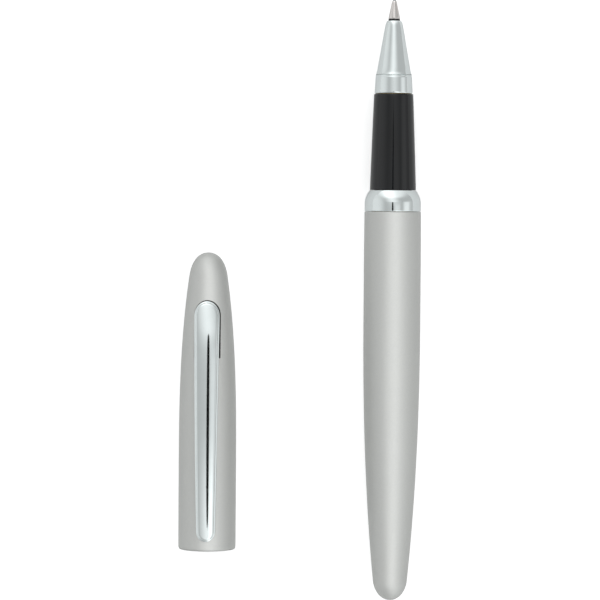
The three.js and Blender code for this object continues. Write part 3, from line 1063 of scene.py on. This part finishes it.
def table_paper():
    """White paper, brightened for the camera alone as in a cut-out picture."""
    finish = Finish("white_paper", emission_color=(1, 1, 1, 1))
    finish.colours(finish.noise(8, detail=3), tones((0.86, 0.86, 0.86), 0.004))
    finish.roughness(finish.noise(0.5, detail=3), 0.85, 0.95)
    finish.link(lit(finish.tree, PAPER_GLOW, 0.0), finish.shader.inputs["Emission Strength"])
    return finish.material


def black_cloth():
    """The near-black of the card that stands for the gap between two lights."""
    finish = Finish("black_cloth", ior=1.2)
    finish.colours(finish.noise(3, detail=2), tones((0.006, 0.006, 0.006), 0.2))
    finish.roughness(finish.noise(1, detail=2), 0.9, 1)
    return finish.material


def gap_outline():
    """The gap between two lights, which narrows a little towards its ends."""
    steps = 32
    points = []
    for i in range(steps):
        angle = 2 * math.pi * i / steps
        x = math.copysign(math.sqrt(abs(math.cos(angle))), math.cos(angle))
        y = math.sin(angle)
        points.append((GAP_MIDDLE[0] + GAP_HALF[0] * x, GAP_MIDDLE[1] + GAP_HALF[1] * y))
    return points


class Levels:
    """Levels of light as nodes of the surroundings' tree."""

    def __init__(self, tree):
        self.tree = tree

    def combined(self, operation, *values):
        node = self.tree.nodes.new("ShaderNodeMath")
        node.operation = operation
        for socket, value in zip(node.inputs, values):
            feed(self.tree, value, socket)
        return node.outputs["Value"]

    def product(self, one, other):
        return self.combined("MULTIPLY", one, other)

    def total(self, first, *others):
        for other in others:
            first = self.combined("ADD", first, other)
        return first

    def size_of(self, value):
        return self.combined("ABSOLUTE", value)

    def step(self, value, start, end, low=0, high=1):
        """Goes softly from low to high as the value goes from start to end."""
        return mapped(self.tree, value, (start, end, low, high), "SMOOTHSTEP")


def studio_level(levels, across, along):
    """How bright the studio is in each direction, across the pen and along it."""
    off_middle = levels.size_of(across)
    slanted = levels.total(across, levels.product(along, 0.4), -0.1)
    band = levels.step(levels.size_of(slanted), 0, 0.64, 1, 0)
    overhead = levels.product(band, levels.step(levels.size_of(along), 0.02, 0.24, 0.1, 0.5))
    foot = levels.product(band, levels.step(along, -0.06, -0.24, 0, 0.15))
    head = levels.product(levels.step(off_middle, 0.35, 0.9, 1, 0), levels.step(along, 0.42, 0.75, 0, 0.42))
    left = levels.step(across, -0.95, -0.45, 0.3, 0)
    near_right = levels.product(levels.step(across, 0.05, 0.25, 0, 0.22), levels.step(across, 0.4, 0.6, 1, 0))
    near_right = levels.product(near_right, levels.step(along, 0.03, 0.12, 1, 0))
    far_right = levels.product(levels.step(across, 0.6, 0.82, 0, 0.4), levels.step(across, 0.9, 1, 1, 0.1))
    far_right = levels.product(far_right, levels.step(along, 0.03, 0.3, 1, 0))
    return levels.total(overhead, foot, head, left, far_right, near_right, BASE_LEVEL)


def surroundings():
    """A soft studio: a pale band along the pen, a pale end ahead of it, and pale patches on both sides."""
    world = bpy.data.worlds.new("soft_studio")
    bpy.context.scene.world = world
    world.use_nodes = True
    tree = world.node_tree
    direction = tree.nodes.new("ShaderNodeSeparateXYZ")
    tree.links.new(tree.nodes.new("ShaderNodeTexCoord").outputs["Generated"], direction.inputs["Vector"])
    level = studio_level(Levels(tree), direction.outputs["X"], direction.outputs["Y"])
    background = tree.nodes["Background"]
    background.inputs["Color"].default_value = STUDIO_TINT
    tree.links.new(lit(tree, WHITE_TO_CAMERA, level), background.inputs["Strength"])


def softbox(pieces):
    """A broad soft light above that models the satin pieces and is kept off the mirror-bright ones."""
    light = bpy.data.lights.new("softbox", "AREA")
    light.shape = "RECTANGLE"
    light.size, light.size_y = SOFTBOX_SIZE
    light.energy = SOFTBOX_ENERGY
    lamp = bpy.data.objects.new("softbox", light)
    lamp.location = SOFTBOX_PLACE
    bpy.context.scene.collection.objects.link(lamp)
    receivers = bpy.data.collections.new("satin_pieces")
    for piece in pieces:
        receivers.objects.link(piece)
    lamp.light_linking.receiver_collection = receivers


def aim(camera):
    """Points the camera at the middle of the pen's level, so that PICTURE_WIDTH fills the picture there."""
    target = Vector((0, 0, PEN.translation.z))
    back = CAMERA_PLACE - target
    right = Vector((math.cos(PICTURE_TURN), math.sin(PICTURE_TURN), 0))
    up = back.cross(right).normalized()
    right = up.cross(back).normalized()
    turn = Matrix((right, up, back.normalized())).transposed().to_4x4()
    camera.matrix_world = Matrix.Translation(CAMERA_PLACE) @ turn
    camera.data.lens = camera.data.sensor_width * back.length / PICTURE_WIDTH


TABLE_OUTLINE = [(x * TABLE_HALF, y * TABLE_HALF) for x, y in ((-1, -1), (1, -1), (1, 1), (-1, 1))]
flat_card("table", TABLE_OUTLINE, 0, table_paper())
flat_card("light_gap", gap_outline(), GAP_HEIGHT, black_cloth())
surroundings()
softbox([piece for piece in bpy.data.objects if SLOT_OF.get(piece.name.removesuffix("_fine")) == "lacquer"])

camera_data = bpy.data.cameras.new("camera")
camera_data.sensor_width = 36
camera = bpy.data.objects.new("camera", camera_data)
bpy.context.scene.collection.objects.link(camera)
bpy.context.scene.camera = camera
aim(camera)
bpy.context.scene.view_settings.view_transform = "Standard"
